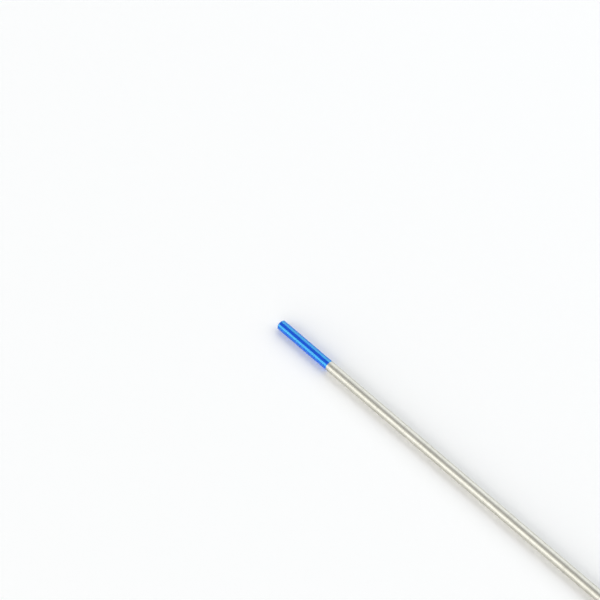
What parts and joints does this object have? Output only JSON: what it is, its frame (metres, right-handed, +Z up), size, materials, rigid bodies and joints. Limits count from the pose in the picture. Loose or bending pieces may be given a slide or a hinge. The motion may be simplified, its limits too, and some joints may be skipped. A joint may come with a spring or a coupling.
{
  "type": "tig tungsten electrode",
  "caption": "Straight ground tungsten welding rod with chamfered cut ends, one end dipped in blue grade paint; a torch collet grips its shaft.",
  "frame": {"origin": "on the rod's axis, halfway along the rod", "axes": "+X along the axis towards the bare working end, -X towards the painted end; +Z up with the rod lying level; it is round about X"},
  "size_m": [0.175, 0.0016, 0.0016],
  "materials": {
    "ground_tungsten": "centreless ground, fine rings round the rod, bright",
    "blue_paint": "glossy dipped lacquer"
  },
  "bodies": {
    "root": {"tungsten_rod": "ground_tungsten", "blue_grade_paint": "blue_paint"}
  },
  "joints": []
}
